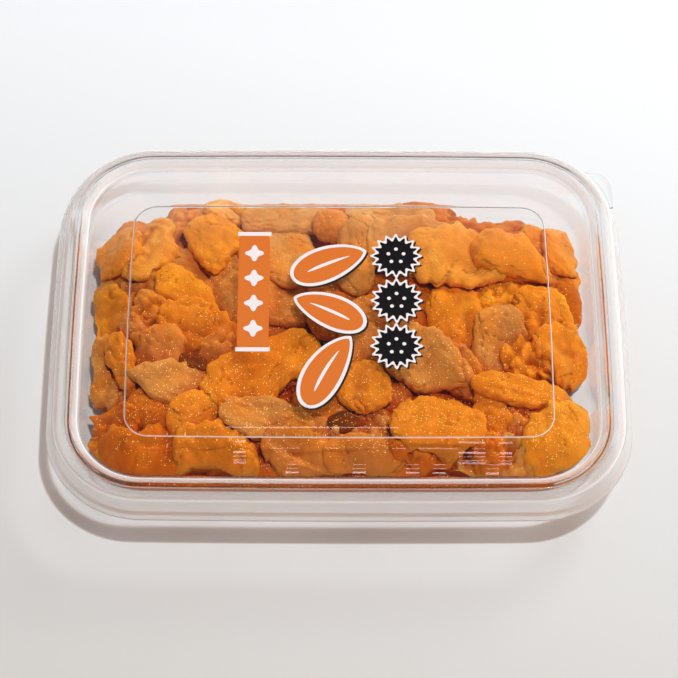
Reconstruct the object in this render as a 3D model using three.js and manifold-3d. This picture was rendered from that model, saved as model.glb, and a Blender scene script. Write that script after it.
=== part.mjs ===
// Sea urchin roe in a shut clear snap-lid pack: a thermoformed tray, a
// thermoformed lid pressed over its rim, and a loose heap of roe lobes inside.
// Millimetres, +Z up, +X along the long side, -Y the front.
// The origin is the middle of the tray's flat underside.

import * as THREE from 'three';
import { mergeVertices } from 'three/addons/utils/BufferGeometryUtils.js';
import Module from 'manifold-3d';

const wasm = await Module();
wasm.setup();

// ---- driving dimensions -------------------------------------------------

const pack_width = 150;      // over the lid's skirt
const pack_depth = 110;
const pack_height = 22;      // table to the top of the lid's ridge
const corner_radius = 25.4;  // outline of the skirt's foot
const side_bow = 0.3;        // how far each long side swells at its middle
const sheet = 0.45;          // wall of the formed plastic
const clearance = 0.3;       // air between pieces that rest on each other

const plateau_drop = 2.3;    // flat of the lid below its ridge
const panel_inset = 20.2;    // raised panel's edge, from the skirt's foot
const panel_rise = 0.4;      // panel above the flat round it
const panel_radius = 6.4;    // its corners

const tab_side = 11;         // pull tab at the back right corner
const tab_round = 2.5;
const tab_edge_x = 73.8;     // its outer edges, from the pack's middle
const tab_edge_y = 49.6;

const heap_clear = 10;       // roe outline at its foot, from the skirt's foot
const heap_middle = 10.4;    // mean height of the heap over the table
const heap_edge = 6.2;       // its height at the outline
const heap_top = 14;         // no lobe stands higher than this
const heap_wander = 1.6;     // how far its outline wanders in and out
const lobe_length = 26;      // one lobe of roe, lying flat
const lobe_width = 14;
const lobe_rise = 4.8;       // crown of a lobe over the gap beside it
const lobe_lift = 1.4;       // how much higher or lower than its neighbours it lies
const lobe_spread = 0.22;    // how much longer or shorter it is
const lobe_columns = 8;
const lobe_rows = 6;

const corner_steps = 6;      // facets in each rounded corner
const long_steps = 6;        // facets along each long side
const short_steps = 4;
const heap_columns = 50;     // facets across the heap's top
const heap_lines = 34;

// ---- rounded rectangles and sheets --------------------------------------

// Outline at a distance inset inside the skirt's foot: four bowed sides and
// four arcs, anticlockwise from the right-hand side.
function outline(inset, radius = corner_radius - inset) {
  const a = pack_width / 2 - side_bow - inset;
  const b = pack_depth / 2 - side_bow - inset;
  const swell = (t) => side_bow * (1 - t * t);
  const points = [];
  const sides = [
    { steps: short_steps, at: (t) => [a + swell(t), t * (b - radius)] },
    { steps: long_steps, at: (t) => [-t * (a - radius), b + swell(t)] },
    { steps: short_steps, at: (t) => [-a - swell(t), -t * (b - radius)] },
    { steps: long_steps, at: (t) => [t * (a - radius), -b - swell(t)] },
  ];
  sides.forEach(({ steps, at }, corner) => {
    for (let i = 0; i < steps; i++) points.push(at(-1 + 2 * i / steps));
    const [sx, sy] = [[1, 1], [-1, 1], [-1, -1], [1, -1]][corner];
    for (let i = 0; i < corner_steps; i++) {
      const turn = (corner + i / corner_steps) * Math.PI / 2;
      points.push([
        sx * (a - radius) + radius * Math.cos(turn),
        sy * (b - radius) + radius * Math.sin(turn),
      ]);
    }
  });
  return points;
}

// Closed body through a stack of rings, with a pole in the middle of the first
// and of the last ring.
function body_from_rings(rings) {
  const count = rings[0].length;
  const positions = rings.flat(2);
  const first_pole = rings.length * count;
  const pole = (ring) => {
    const z = ring.reduce((sum, point) => sum + point[2], 0) / count;
    positions.push(0, 0, z);
  };
  pole(rings[0]);
  pole(rings[rings.length - 1]);
  const index = [];
  for (let i = 0; i < count; i++) {
    const j = (i + 1) % count;
    index.push(first_pole, i, j);
    for (let k = 0; k + 1 < rings.length; k++) {
      const [p, q] = [k * count, (k + 1) * count];
      index.push(p + i, q + i, q + j, p + i, q + j, p + j);
    }
    const last = (rings.length - 1) * count;
    index.push(first_pole + 1, last + j, last + i);
  }
  const geometry = new THREE.BufferGeometry();
  geometry.setAttribute('position', new THREE.Float32BufferAttribute(positions, 3));
  geometry.setIndex(index);
  return geometry;
}

// Underside of a formed sheet: the profile moved by the wall's thickness along
// the mean of the normals of its two neighbouring stretches.
function offset(profile, thickness) {
  return profile.map((point, i) => {
    const before = profile[Math.max(i - 1, 0)];
    const after = profile[Math.min(i + 1, profile.length - 1)];
    const normals = [[before, point], [point, after]]
      .map(([p, q]) => [q[0] - p[0], q[1] - p[1]])
      .filter(([x, y]) => Math.hypot(x, y) > 0)
      .map(([x, y]) => [-y / Math.hypot(x, y), x / Math.hypot(x, y)]);
    const mean = [0, 1].map((k) => normals.reduce((sum, n) => sum + n[k], 0));
    const reach = thickness * normals.length / (mean[0] ** 2 + mean[1] ** 2);
    return [point[0] + mean[0] * reach, point[1] + mean[1] * reach, point[2]];
  });
}

// Sheet of even wall whose upper side follows the profile, a list of
// [inset from the skirt's foot, height, corner radius] from the middle outwards.
function formed_sheet(profile) {
  const ring = ([inset, z, radius]) =>
    outline(inset, radius ?? corner_radius - inset).map(([x, y]) => [x, y, z]);
  const under = offset(profile, sheet);
  return body_from_rings([...profile, ...under.reverse()].map(ring));
}

// ---- joining and cutting ------------------------------------------------

function to_solid(geometry) {
  const bare = geometry.clone();
  bare.deleteAttribute('normal');
  bare.deleteAttribute('uv');
  const merged = mergeVertices(bare, 1e-4);
  return new wasm.Manifold(new wasm.Mesh({
    numProp: 3,
    vertProperties: merged.attributes.position.array,
    triVerts: new Uint32Array(merged.index.array),
  }));
}

function to_geometry(solid) {
  const mesh = solid.getMesh();
  const geometry = new THREE.BufferGeometry();
  geometry.setAttribute('position', new THREE.BufferAttribute(mesh.vertProperties, 3));
  geometry.setIndex(new THREE.BufferAttribute(mesh.triVerts, 1));
  return geometry;
}

// ---- tray ---------------------------------------------------------------

// Flat floor, rounded foot, slightly drafted wall with a stacking line half way
// up, and a flange that turns out and down under the lid's ridge.
function tray_geometry() {
  const top = pack_height;
  return formed_sheet([
    [20.0, sheet],
    [13.4, sheet],
    [11.6, sheet + 0.3],
    [10.4, sheet + 1.4],
    [9.6, sheet + 3.2],
    [8.0, top - 12.8],
    [7.2, top - 11.6],
    [6.8, top - 4.2],
    [6.4, top - 1.7],
    [5.8, top - 1.05],
    [5.1, top - 1.15],
    [3.9, top - 2.3],
    [2.8, top - 3.5],
    [1.8, top - 5.2],
    [1.2, top - 7.8],
  ]);
}

// ---- lid ----------------------------------------------------------------

const skirt_foot = pack_height - 8.5;

// Raised panel, flat round it, inner rise to the ridge, and three steps down to
// the foot of the skirt.
function lid_sheet() {
  const top = pack_height;
  const flat = top - plateau_drop;
  return formed_sheet([
    [panel_inset + 6, flat + panel_rise, panel_radius - 2],
    [panel_inset + 0.4, flat + panel_rise, panel_radius - 0.4],
    [panel_inset, flat, panel_radius],
    [9.0, flat],
    [8.4, flat + 0.3],
    [7.2, top - 0.5],
    [6.6, top],
    [5.2, top],
    [4.4, top - 0.3],
    [3.3, top - 1.2],
    [2.1, top - 2.5],
    [1.4, top - 4.4],
    [0.3, skirt_foot + 0.5],
    [0, skirt_foot],
  ]);
}

// Small plate that stands out at the foot of the skirt, to peel the lid by.
function tab_geometry() {
  const left = tab_edge_x - tab_side;
  const front = tab_edge_y - tab_side;
  const shape = new THREE.Shape();
  shape.moveTo(left, front);
  shape.lineTo(tab_edge_x, front);
  shape.lineTo(tab_edge_x, tab_edge_y - tab_round);
  shape.absarc(tab_edge_x - tab_round, tab_edge_y - tab_round, tab_round, 0, Math.PI / 2);
  shape.lineTo(left, tab_edge_y);
  const plate = new THREE.ExtrudeGeometry(shape, { depth: sheet, bevelEnabled: false, curveSegments: 5 });
  plate.translate(0, 0, skirt_foot + 0.1);
  return plate;
}

// Everything inside the skirt's wall, which the tab is cut back from.
function inside_skirt() {
  const room = 0.45;
  const ring = (z) => outline(room).map(([x, y]) => [x, y, z]);
  return body_from_rings([ring(skirt_foot + 3), ring(skirt_foot - 3)]);
}

function lid_geometry() {
  const tab = to_solid(tab_geometry()).subtract(to_solid(inside_skirt()));
  return to_geometry(to_solid(lid_sheet()).add(tab));
}

// ---- heap of roe --------------------------------------------------------

// Repeatable scatter between -1 and 1 for whole numbers i and k.
function scatter(i, k) {
  const wave = Math.sin(i * 12.9898 + k * 78.233) * 43758.5453;
  return 2 * (wave - Math.floor(wave)) - 1;
}

// Lobes lie in loose rows, each shifted, turned and lifted a little.
const lobes = [];
for (let row = 0; row < lobe_rows; row++) {
  for (let column = 0; column < lobe_columns; column++) {
    const i = row * lobe_columns + column;
    lobes.push({
      x: (column + 0.5 - lobe_columns / 2 + 0.3 * scatter(i, 1)) * 124 / lobe_columns,
      y: (row + 0.5 - lobe_rows / 2 + 0.3 * scatter(i, 2)) * 84 / lobe_rows,
      turn: Math.PI / 2 * scatter(i, 3),
      size: 1 + lobe_spread * scatter(i, 4),
      lift: lobe_lift * scatter(i, 5),
    });
  }
}

// Height of the heap's surface: the highest lobe there, each an oval dome on a
// mound that falls towards the outline. ring is 0 in the middle, 1 at the edge.
function heap_height(x, y, ring) {
  const mound = heap_edge + (heap_middle - heap_edge) * (1 - ring ** 6);
  let height = mound - lobe_rise / 2;
  for (const lobe of lobes) {
    const [c, s] = [Math.cos(lobe.turn), Math.sin(lobe.turn)];
    const along = (c * (x - lobe.x) + s * (y - lobe.y)) / (lobe.size * lobe_length / 2);
    const across = (c * (y - lobe.y) - s * (x - lobe.x)) / (lobe.size * lobe_width / 2);
    const far = along ** 2 + across ** 2;
    if (far < 1) {
      const dome = lobe_rise * Math.sqrt(1 - far);
      height = Math.max(height, mound - lobe_rise / 2 + lobe.lift + dome);
    }
  }
  return Math.min(height, heap_top);
}

// Point inside the outline for u and v between -1 and 1. It is u and v stretched
// to the pack's sides, and each corner's square is drawn in to a quarter disc.
function disc_point(u, v, inset) {
  const radius = corner_radius - inset;
  const halves = [pack_width / 2 - inset, pack_depth / 2 - inset];
  const flat = [u, v].map((value, k) => value * halves[k]);
  const [s, t] = flat.map((value, k) => Math.max(0, Math.abs(value) - halves[k] + radius) / radius);
  if (s === 0 || t === 0) return flat;
  const drawn = [s * Math.sqrt(1 - t * t / 2), t * Math.sqrt(1 - s * s / 2)];
  return drawn.map((value, k) => Math.sign(flat[k]) * (halves[k] - radius + value * radius));
}

// Grid points on the rim of the heap's top, anticlockwise from its front left.
function rim_walk() {
  const walk = [];
  for (let i = 0; i < heap_columns; i++) walk.push([i, 0]);
  for (let k = 0; k < heap_lines; k++) walk.push([heap_columns, k]);
  for (let i = heap_columns; i > 0; i--) walk.push([i, heap_lines]);
  for (let k = heap_lines; k > 0; k--) walk.push([0, k]);
  return walk;
}

// Uneven top on a grid, then two loops down to the floor, closed by a fan.
function heap_geometry() {
  const floor = sheet + clearance;
  const positions = [];
  const index = [];
  const at = (i, k) => k * (heap_columns + 1) + i;
  const square = (i, k) => [2 * i / heap_columns - 1, 2 * k / heap_lines - 1];
  for (let k = 0; k <= heap_lines; k++) {
    for (let i = 0; i <= heap_columns; i++) {
      const [u, v] = square(i, k);
      const ring = Math.min(1, (u ** 8 + v ** 8) ** 0.125);
      const wander = heap_wander * ring ** 4 * (1 + Math.sin(5 * u + 9 * v) * Math.cos(8 * u - 4 * v));
      const [x, y] = disc_point(u, v, heap_clear + wander);
      positions.push(x, y, heap_height(x, y, ring));
      if (i < heap_columns && k < heap_lines) {
        index.push(at(i, k), at(i + 1, k), at(i + 1, k + 1));
        index.push(at(i, k), at(i + 1, k + 1), at(i, k + 1));
      }
    }
  }
  const walk = rim_walk();
  let upper = walk.map(([i, k]) => at(i, k));
  for (const [shrink, z] of [[heap_clear + 4, floor + 1], [heap_clear + 5, floor]]) {
    const lower = walk.map((_, n) => positions.length / 3 + n);
    walk.forEach(([i, k]) => positions.push(...disc_point(...square(i, k), shrink), z));
    upper.forEach((p, n) => {
      const m = (n + 1) % walk.length;
      index.push(p, lower[n], lower[m], p, lower[m], upper[m]);
    });
    upper = lower;
  }
  const middle = positions.length / 3;
  positions.push(0, 0, floor);
  upper.forEach((p, n) => index.push(p, middle, upper[(n + 1) % walk.length]));
  const geometry = new THREE.BufferGeometry();
  geometry.setAttribute('position', new THREE.Float32BufferAttribute(positions, 3));
  geometry.setIndex(index);
  return geometry;
}

// ---- the pack -----------------------------------------------------------

function piece(name, geometry, material) {
  const mesh = new THREE.Mesh(geometry, new THREE.MeshStandardMaterial(material));
  mesh.name = name;
  return mesh;
}

const clear_tray = { color: 0xe8ecec, roughness: 0.12, metalness: 0, transparent: true, opacity: 0.35 };
const clear_lid = { color: 0xf2f5f5, roughness: 0.08, metalness: 0, transparent: true, opacity: 0.3 };
const wet_roe = { color: 0xd9781e, roughness: 0.4, metalness: 0 };

const pack = new THREE.Group();
pack.add(piece('tray', tray_geometry(), clear_tray));
pack.add(piece('lid', lid_geometry(), clear_lid));
pack.add(piece('roe_heap', heap_geometry(), wet_roe));

export default pack;
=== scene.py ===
# %% [markdown]
# # Sea urchin roe in a clear snap-lid pack
# A shallow tray of thin clear plastic holds a heap of soft roe, and a clear lid is
# pressed over its rim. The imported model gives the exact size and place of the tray,
# the lid and the heap, so the first step loads it and everything else is made round it.

# %% Load the frame
import bpy
import numpy as np
from mathutils import Matrix, Vector


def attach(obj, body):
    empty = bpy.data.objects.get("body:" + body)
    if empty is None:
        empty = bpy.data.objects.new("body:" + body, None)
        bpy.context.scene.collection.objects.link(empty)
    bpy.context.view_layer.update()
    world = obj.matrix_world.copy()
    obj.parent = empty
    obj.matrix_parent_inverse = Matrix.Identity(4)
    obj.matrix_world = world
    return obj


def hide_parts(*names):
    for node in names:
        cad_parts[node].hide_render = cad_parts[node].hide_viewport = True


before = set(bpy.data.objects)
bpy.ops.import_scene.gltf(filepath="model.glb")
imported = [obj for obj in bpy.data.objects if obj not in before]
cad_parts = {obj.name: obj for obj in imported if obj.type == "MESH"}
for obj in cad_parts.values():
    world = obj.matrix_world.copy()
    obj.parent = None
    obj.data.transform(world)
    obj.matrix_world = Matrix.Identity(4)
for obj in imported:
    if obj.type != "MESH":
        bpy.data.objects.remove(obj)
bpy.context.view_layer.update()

MM = 0.001

# %% [markdown]
# The camera comes first, because it decides what counts as front, far and fine. It
# stands in front and high up, looks down at the lid through a long lens, and is turned
# and rolled by less than a degree, as a camera held in the hand is. It could be dragged
# into place, but axes worked out from three angles give the same picture every time.

# %% Camera
view_height = 60.32      # degrees above the horizon
view_turn = 0.65         # degrees round the pack
view_roll = 0.74
view_distance = 587.8    # mm from the point it looks at
lens_length = 121.74     # mm, over a sensor 36 mm wide
look_at = np.array([-0.1, -7.4, 22.0])    # mm, a point on the lid

def direction(turn, height):
    """Unit vector of a sight line that turns from +Y towards +X and falls by height."""
    turn, height = np.radians([turn, height])
    return np.array([np.sin(turn) * np.cos(height), np.cos(turn) * np.cos(height), -np.sin(height)])

def place_camera():
    """Axes of the camera: right lies level, up is right x forward, both rolled a little."""
    forward = direction(view_turn, view_height)
    right = np.array([np.cos(np.radians(view_turn)), -np.sin(np.radians(view_turn)), 0])
    up = np.cross(right, forward)
    c, s = np.cos(np.radians(view_roll)), np.sin(np.radians(view_roll))
    right, up = right * c + up * s, up * c - right * s
    lens = bpy.data.cameras.new("camera")
    lens.lens, lens.sensor_width = lens_length, 36
    lens.clip_start, lens.clip_end = 0.05, 20
    camera = bpy.data.objects.new("camera", lens)
    axes = Matrix((right, up, -forward)).transposed().to_4x4()
    camera.matrix_world = Matrix.Translation(Vector((look_at - forward * view_distance) * MM)) @ axes
    bpy.context.scene.collection.objects.link(camera)
    bpy.context.scene.camera = camera
    return camera

camera = place_camera()
print("camera at", [round(v, 3) for v in camera.matrix_world.translation])

# %% [markdown]
# Every surface here is a grid of points worked out with numpy: rows run along one
# parameter and columns round the other. Modelling by hand with modifiers would do too, but
# a formula keeps sizes exact and can be read. A few helpers turn such grids into meshes, so
# each later step only has to say where its points are.

# %% Grids into meshes
def tube_faces(rows, columns):
    """Quads of a grid whose last column joins its first, and fans to the two poles after it."""
    i, j = np.meshgrid(np.arange(rows - 1), np.arange(columns), indexing="ij")
    k = (j + 1) % columns
    quads = np.stack([i * columns + j, (i + 1) * columns + j, (i + 1) * columns + k, i * columns + k], -1)
    first, end = rows * columns, (rows - 1) * columns
    j, k = j[0], k[0]
    fans = [np.stack([np.full(columns, first), j, k], -1),
            np.stack([np.full(columns, first + 1), end + k, end + j], -1)]
    return quads.reshape(-1, 4), np.concatenate(fans)

def closed_tube(rings):
    """Points and faces of a closed body through rings, with a pole in the middle of each end."""
    points = np.concatenate([rings.reshape(-1, 3), rings[:1].mean(1), rings[-1:].mean(1)])
    return points, *tube_faces(*rings.shape[:2])

def joined(bodies):
    """One set of points, quads and triangles from several."""
    starts = np.cumsum([0] + [len(body[0]) for body in bodies[:-1]])
    return (np.concatenate([body[0] for body in bodies]),
            np.concatenate([body[1] + start for body, start in zip(bodies, starts)]),
            np.concatenate([body[2] + start for body, start in zip(bodies, starts)]))

def make_piece(name, points, quads, triangles, colours=None):
    """Mesh object from points in mm, quads and triangles, smooth, riding on the pack."""
    mesh = bpy.data.meshes.new(name)
    loops = np.concatenate([quads.ravel(), triangles.ravel()]).astype(np.int32)
    sizes = np.concatenate([np.full(len(quads), 4), np.full(len(triangles), 3)])
    mesh.vertices.add(len(points))
    mesh.loops.add(len(loops))
    mesh.polygons.add(len(sizes))
    mesh.vertices.foreach_set("co", (points * MM).astype(np.float32).ravel())
    mesh.loops.foreach_set("vertex_index", loops)
    mesh.polygons.foreach_set("loop_start", (np.cumsum(sizes) - sizes).astype(np.int32))
    mesh.update(calc_edges=True)
    mesh.shade_smooth()
    for label, values in (colours or {}).items():
        layer = mesh.color_attributes.new(label, "FLOAT_COLOR", "POINT")
        layer.data.foreach_set("color", np.c_[values, np.ones(len(values))].astype(np.float32).ravel())
    piece = bpy.data.objects.new(name, mesh)
    bpy.context.scene.collection.objects.link(piece)
    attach(piece, "root")
    print(f"{name}: {len(points)} points, {2 * len(quads) + len(triangles)} triangles")
    return piece

# %% [markdown]
# The tray and the lid are each one sheet of plastic, drawn hot over a mould. A box could be
# bevelled and hollowed into one, but its small steps would be hard to keep even. Here a
# sheet is a profile, from the middle of its floor out to its cut edge, carried round one
# rounded rectangle. The outline has more stations where the skirt is ribbed.

# %% Outline
corner_radius = 25.4     # mm, at the foot of the lid's skirt
side_bow = 0.3           # how far a long side swells at its middle
stations = {"right": 116, "back right": 24, "back": 40, "back left": 64,
            "left": 116, "front left": 24, "front": 40, "front right": 24}
half_size = np.array([75.0, 55.0]) - side_bow

def outline(inset, radius):
    """Rounded rectangles, one for each inset: a bowed side a + bow (1 - t^2), then a quarter circle."""
    inset, radius = np.asarray(inset, float)[:, None], np.asarray(radius, float)[:, None]
    a, b = half_size[0] - inset, half_size[1] - inset
    parts, normals = [], []
    for number, count in enumerate(stations.values()):
        quarter = number // 2
        x_sign, y_sign = [(1, 1), (-1, 1), (-1, -1), (1, -1)][quarter]
        step = np.arange(count) / count
        if number % 2 == 0:
            t = 2 * step - 1
            swell = side_bow * (1 - t ** 2)
            side = [(a + swell, t * (b - radius)), (-t * (a - radius), b + swell),
                    (-a - swell, -t * (b - radius)), (t * (a - radius), -b - swell)][quarter]
            angle = np.full(count, quarter * np.pi / 2)
        else:
            angle = (quarter + step) * np.pi / 2
            side = (x_sign * (a - radius) + radius * np.cos(angle),
                    y_sign * (b - radius) + radius * np.sin(angle))
        parts.append(np.stack(np.broadcast_arrays(*side), -1))
        normals.append(np.stack([np.cos(angle), np.sin(angle)], -1))
    return np.concatenate(parts, 1), np.concatenate(normals)

foot_line, outward = outline([0], [corner_radius])
station_gap = np.linalg.norm(np.roll(foot_line[0], -1, 0) - foot_line[0], axis=1)
along = np.concatenate([[0], np.cumsum(station_gap)[:-1]])
print(f"outline: {len(along)} stations, {along[-1]:.0f} mm round")

# %% [markdown]
# A mould has small fillets at every bend, and these catch the thin bright lines that show
# clear plastic at all. A Bevel modifier could round them, but would round the cut edge as
# well. Each bend of a profile becomes a short curve between two straight stretches instead.
# The second side of the sheet is the first moved along its normals, by the wall's thickness.

# %% Formed sheet
def rounded(profile, bend=0.5):
    """Profile with each corner C replaced by the curve (1-t)^2 A + 2t(1-t) C + t^2 B, from A to B."""
    corners = np.array(profile, float)
    line = [corners[:1]]
    t = np.linspace(0, 1, 5)[:, None]
    for before, corner, after in zip(corners[:-2], corners[1:-1], corners[2:]):
        arms = []
        for other in (before, after):
            length = np.hypot(*(other - corner)[:2])
            arms.append((other - corner) * min(bend / length, 0.42))
        a, b = corner + arms[0], corner + arms[1]
        line += [corner + 1.14 * arms[0][None], (1 - t) ** 2 * a + 2 * t * (1 - t) * corner + t ** 2 * b,
                 corner + 1.14 * arms[1][None]]
    return np.concatenate(line + [corners[-1:]])

def formed_sheet(profile, wall, bend=0.5, wobble=None):
    """Closed sheet: rings of the profile from the middle out, and back under it at the wall's depth."""
    upper = rounded(profile, bend)
    run = np.gradient(upper[:, :2], axis=0)
    run /= np.linalg.norm(run, axis=1, keepdims=True)
    across = np.stack([-run[:, 1], run[:, 0]], -1) * wall
    under = upper + np.c_[across, -across[:, 0]]
    line = np.concatenate([upper, under[::-1]])
    places, normals = outline(line[:, 0], line[:, 2])
    rings = np.concatenate([places, np.broadcast_to(line[:, 1, None, None], places.shape[:2] + (1,))], -1)
    if wobble is not None:
        rings[..., :2] += wobble(line[:, 1])[..., None] * normals
    return closed_tube(rings)

def with_radius(profile):
    """Profile rows [inset, height], each given the corner radius that keeps it parallel to the foot."""
    return [row if len(row) == 3 else [*row, corner_radius - row[0]] for row in profile]

wall = 0.4
print("wall of the plastic:", wall, "mm")

# %% [markdown]
# The tray has a flat floor, a wall that leans out and steps once where trays nest, and a
# flange that turns over and down inside the lid's skirt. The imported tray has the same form
# with plain bends, so it could be shown as it is. This one takes its place for its fillets.

# %% Tray
pack_top = 22.0
tray_profile = with_radius([
    [20.0, 0.45], [13.4, 0.45], [11.6, 0.75], [10.4, 1.85], [9.6, 3.65], [8.0, pack_top - 12.8],
    [7.2, pack_top - 11.6], [6.8, pack_top - 4.2], [6.4, pack_top - 1.7], [5.8, pack_top - 1.05],
    [5.1, pack_top - 1.15], [3.9, pack_top - 2.3], [2.8, pack_top - 3.5], [1.8, pack_top - 5.2],
    [1.2, pack_top - 7.8]])
tray = make_piece("clear_tray", *formed_sheet(tray_profile, wall, bend=0.8))
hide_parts("tray")

# %% [markdown]
# The lid's flat has a thin raised panel in its middle. From the flat the sheet climbs to a
# ridge, then falls in steps to the foot of the skirt. The skirt's short sides and its back
# left corner carry fine upright ribs, which stop the thin plastic from folding when a
# thumb presses on it. A bump map would leave the glass flat where its edge is seen, so the
# ribs are moved points.

# %% Lid
lid_flat = pack_top - 2.3
panel_top = lid_flat + 0.3
skirt_foot = pack_top - 8.5
rib_pitch, rib_depth = 3.1, 0.17

def ribs(height):
    """Waves round the skirt: depth x sin(2 pi distance / pitch), faded out by height and by place."""
    on_skirt = np.clip((20.0 - height) / 2.5, 0, 1) * np.clip((height - skirt_foot) / 1.5, 0.25, 1)
    x, y = foot_line[0].T
    sides = np.clip((np.abs(x) - 71) / 3, 0, 1) * np.clip((24 - np.abs(y)) / 8, 0, 1)
    corner = np.clip((y - x - 84) / 8, 0, 1)
    ripple = rib_depth * np.sin(2 * np.pi * along / rib_pitch)
    return on_skirt[:, None] * np.maximum(sides, corner) * ripple

lid_profile = with_radius([
    [26.2, panel_top, 4.4], [20.45, panel_top, 6.15], [20.2, lid_flat, 6.4], [9.0, lid_flat],
    [8.4, lid_flat + 0.3], [7.2, pack_top - 0.5], [6.6, pack_top], [5.2, pack_top],
    [4.4, pack_top - 0.3], [3.3, pack_top - 1.2], [2.1, pack_top - 2.5], [1.4, pack_top - 4.4],
    [0.3, skirt_foot + 0.5], [0, skirt_foot]])
lid_sheet = formed_sheet(lid_profile, wall, bend=0.4, wobble=ribs)
print("lid sheet:", len(lid_sheet[0]), "points, its flat panel at", round(panel_top, 2), "mm")

# %% [markdown]
# The pull tab is a small flat plate outside the skirt at the back right corner, to lift the
# lid by. It could be cut from the sheet, but a plate of its own that starts inside the
# skirt looks the same and keeps both grids plain. Its outer edge is a square with a rounded
# corner, written as a distance from the corner's centre.

# %% Pull tab
tab_edges = np.array([73.8, 49.6])    # mm, its outer edges from the pack's middle
tab_squareness = 9.0

def pull_tab():
    """Plate between the skirt's arc and a square: its section, turned about the corner's centre.

    The square is ((cos / x)^n + (sin / y)^n)^(-1/n), and the section a box, |cos|^0.25 wide
    and |sin|^0.25 high.
    """
    turn = np.radians(np.linspace(20, 53.5, 34))
    centre = half_size - corner_radius
    reach, n = tab_edges - centre, tab_squareness
    square = ((np.cos(turn) / reach[0]) ** n + (np.sin(turn) / reach[1]) ** n) ** (-1 / n)
    inner = np.full_like(turn, corner_radius - 0.2)
    outer = np.maximum(square, inner + 0.05)
    loop = np.linspace(0, 2 * np.pi, 12, endpoint=False)
    span, lift = np.cos(loop), np.sin(loop)
    box = lambda v: np.sign(v) * np.abs(v) ** 0.25
    middle, half = (inner + outer) / 2, (outer - inner) / 2
    distance = middle[:, None] + half[:, None] * box(span)
    height = np.broadcast_to(skirt_foot + 0.1 + wall / 2 * (1 + box(lift)), distance.shape)
    return closed_tube(np.stack([centre[0] + distance * np.cos(turn)[:, None],
                                 centre[1] + distance * np.sin(turn)[:, None], height], -1))

lid = make_piece("clear_lid", *joined([lid_sheet, pull_tab()]))
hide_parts("lid")

# %% [markdown]
# A finish in Blender is a graph of nodes. Each one below is written as a function that adds
# its nodes in the order in which their values are worked out. One small helper makes an
# empty material and hands back a way to add a node with its inputs in one line, and another
# does the same for sums.

# %% Node helpers
def new_material(name):
    """Empty node material and a shorthand that adds a node with its settings."""
    material = bpy.data.materials.new(name)
    material.use_nodes = True
    tree = material.node_tree
    tree.nodes.clear()

    def add(kind, inputs=None, **settings):
        """New node; an input is given as a value or as another node's output."""
        node = tree.nodes.new(kind)
        for key, value in settings.items():
            setattr(node, key, value)
        for key, value in (inputs or {}).items():
            if isinstance(value, bpy.types.NodeSocket):
                tree.links.new(value, node.inputs[key])
            else:
                node.inputs[key].default_value = value
        return node
    return material, add

def maths_in(tree):
    """Shorthand that adds a math node to a tree."""
    def maths(operation, *sources):
        """Math node of numbers and other nodes' outputs."""
        node = tree.nodes.new("ShaderNodeMath")
        node.operation = operation
        for socket, source in zip(node.inputs, sources):
            if isinstance(source, bpy.types.NodeSocket):
                tree.links.new(source, socket)
            else:
                socket.default_value = source
        return node.outputs[0]
    return maths

print("materials so far:", len(bpy.data.materials))

# %% [markdown]
# The plastic is real glass to the eye: it bends and mirrors what is seen through it, which
# draws the rim as bright and dark lines. Light on its way to the food would take long to
# find through glass, so shadow rays and soft light see a thin film instead. The film lets
# nearly all light through where the sheet lies flat. It holds back part of a lamp's light,
# and a little of the soft light, where it falls away steeply outwards, told by the
# surface's own normal, on the sides turned away from the window. The steep colour is a
# chosen warm tint, so the shadows it lets under the rim come out warm. Plastic drawn round
# a tight bend turns milky, so the lid has a milky share: most on the small step round its
# panel, and a third on its steep slopes.

# %% Film for lamps
film_flat = (0.99, 0.99, 0.99, 1)    # what a flat sheet lets through
window_side = (0.6, 1.0, 0)          # towards the window, level
window_share = 0.85                  # how nearly the sides towards it count as flat

def film_colour(add, place, normal, soft_light, steep, soft_steep):
    """Mix of the steep and the flat colour by flatness: |normal z|, raised inside and by the window."""
    upright = add("ShaderNodeSeparateXYZ", {0: normal}).outputs["Z"]
    level = add("ShaderNodeMath", {0: upright}, operation="ABSOLUTE").outputs[0]
    flatness = add("ShaderNodeMapRange", {0: level, 1: 0.68, 2: 0.99},
                   interpolation_type="SMOOTHSTEP").outputs[0]
    sideways = add("ShaderNodeVectorMath", {0: place, 1: (1, 1, 0)},
                   operation="MULTIPLY").outputs["Vector"]
    outward = add("ShaderNodeVectorMath", {0: sideways, 1: normal},
                  operation="DOT_PRODUCT").outputs["Value"]
    facing_in = add("ShaderNodeMath", {0: outward, 1: upright}, operation="MULTIPLY").outputs[0]
    inner = add("ShaderNodeMath", {0: facing_in, 1: 0.0}, operation="LESS_THAN").outputs[0]
    towards = add("ShaderNodeVectorMath", {0: place, 1: window_side},
                  operation="DOT_PRODUCT").outputs["Value"]
    lit_side = add("ShaderNodeMapRange", {0: towards, 1: -0.03, 2: 0.03, 4: window_share}).outputs[0]
    for raised in (inner, lit_side):
        flatness = add("ShaderNodeMath", {0: flatness, 1: raised}, operation="MAXIMUM").outputs[0]
    dim = add("ShaderNodeMix", {0: soft_light, 6: (*steep, 1), 7: (*soft_steep, 1)},
              data_type="RGBA").outputs[2]
    return add("ShaderNodeMix", {0: flatness, 6: dim, 7: film_flat}, data_type="RGBA").outputs[2]

print("a flat sheet lets through", film_flat[0], "of the light on its way to the roe")

# %% Clear plastic
plastic_index = 1.5
milky_colour = (0.98, 0.93, 0.91, 1)
milky_on_step, milky_on_slopes = 0.7, 0.32
step_reach = 0.26                    # mm above and below the middle of the panel's step

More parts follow.
